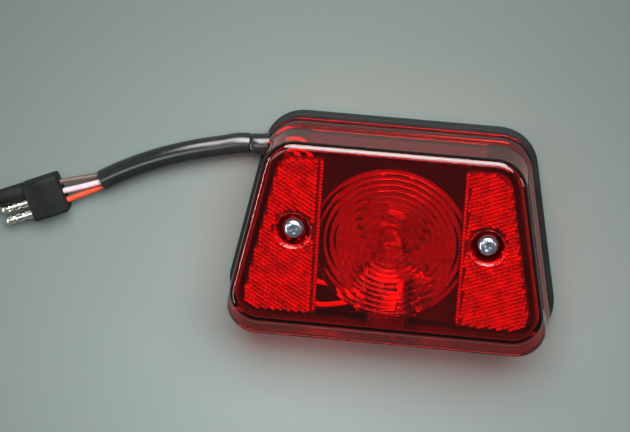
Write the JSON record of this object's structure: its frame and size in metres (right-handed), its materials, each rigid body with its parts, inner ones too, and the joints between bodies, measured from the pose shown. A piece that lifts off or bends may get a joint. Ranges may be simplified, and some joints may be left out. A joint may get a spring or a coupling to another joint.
{
  "type": "trailer tail light",
  "caption": "Surface-mount trailer tail light with a red lens, twin reflex panels, a bayonet bulb inside and a short lead ending in a flat plug.",
  "frame": {"origin": "centre of the pad's back face, in the middle of the lamp's box without its lead", "axes": "+Z out of the lens face, +Y towards the lamp's narrow top, +X to the right seen from the front"},
  "size_m": [0.2476, 0.0948, 0.0385],
  "materials": {
    "pad_rubber": "matt moulded rubber",
    "black_plastic": "matt black moulded plastic",
    "red_lens": "clear red moulded lens, glossy",
    "red_reflex": "red prismatic reflex optic",
    "seal_rubber": "soft black rubber",
    "zinc_steel": "zinc plated steel",
    "bright_steel": "bright plated steel",
    "brass": "turned brass",
    "spring_steel": "spring wire",
    "fibre": "brown fibre board",
    "bulb_glass": "clear glass",
    "black_glass": "black vitrified insulator",
    "solder": "dull solder",
    "tungsten": "drawn tungsten",
    "vinyl_black": "black vinyl sleeve, semi-gloss",
    "wire_brown": "brown wire insulation",
    "wire_white": "white wire insulation",
    "wire_orange": "orange wire insulation",
    "plug_rubber": "black moulded rubber",
    "nickel": "nickel plated contact"
  },
  "bodies": {
    "lamp": {"mounting_pad": "pad_rubber", "housing": "black_plastic", "lens_gasket": "seal_rubber", "thread_insert_left": "brass", "thread_insert_right": "brass", "reflector_plate": "bright_steel", "socket_shell": "zinc_steel", "socket_end_cap": "fibre", "socket_bracket": "zinc_steel", "bracket_rivet_left": "bright_steel", "bracket_rivet_right": "bright_steel", "contact_spring": "spring_steel", "lead_tail": "wire_brown", "lead_stop": "wire_orange", "lead_ground": "wire_white", "ground_terminal": "brass", "cord_boot": "vinyl_black", "cord_sleeve": "vinyl_black", "wire_brown": "wire_brown", "wire_white": "wire_white", "wire_orange": "wire_orange", "plug_body": "plug_rubber", "plug_pin_1": "nickel", "plug_pin_2": "nickel", "plug_socket_terminal": "nickel"},
    "lens_cover": {"lens": "red_lens", "reflex_panel_left": "red_reflex", "reflex_panel_right": "red_reflex", "screw_seal_left": "seal_rubber", "screw_seal_right": "seal_rubber"},
    "screw_left": {"lens_screw_left": "zinc_steel"},
    "screw_right": {"lens_screw_right": "zinc_steel"},
    "contact_carrier": {"contact_disc": "fibre", "socket_contact_tail": "brass", "socket_contact_stop": "brass"},
    "bulb": {"bulb_glass": "bulb_glass", "bulb_base": "brass", "bulb_insulator": "black_glass", "bulb_contact_tail": "solder", "bulb_contact_stop": "solder", "bulb_stem": "bulb_glass", "support_wire_tail_a": "nickel", "support_wire_tail_b": "nickel", "support_wire_stop_a": "nickel", "support_wire_stop_b": "nickel", "filament_tail": "tungsten", "filament_stop": "tungsten"}
  },
  "joints": [
    {"name": "lens_lift", "type": "slide", "parent": "lamp", "child": "lens_cover", "axis": [0, 0, 1], "range_m": [0, 0.045]},
    {"name": "screw_left_turn", "type": "hinge", "parent": "lens_cover", "child": "screw_left", "pos_m": [-0.0411, 0.00595, 0.036], "axis": [0, 0, 1], "continuous": true},
    {"name": "screw_right_turn", "type": "hinge", "parent": "lens_cover", "child": "screw_right", "pos_m": [0.0411, 0.00595, 0.036], "axis": [0, 0, 1], "continuous": true},
    {"name": "contact_push", "type": "slide", "parent": "lamp", "child": "contact_carrier", "axis": [0, -1, 0], "range_m": [0, 0.0018], "stiffness_N_per_m": 1500, "springref_m": -0.002, "deforming": ["contact_spring"]},
    {"name": "bulb_turn", "type": "hinge", "parent": "contact_carrier", "child": "bulb", "pos_m": [0, -0.025, 0.0205], "axis": [0, 1, 0], "range_deg": [0, 35]}
  ]
}
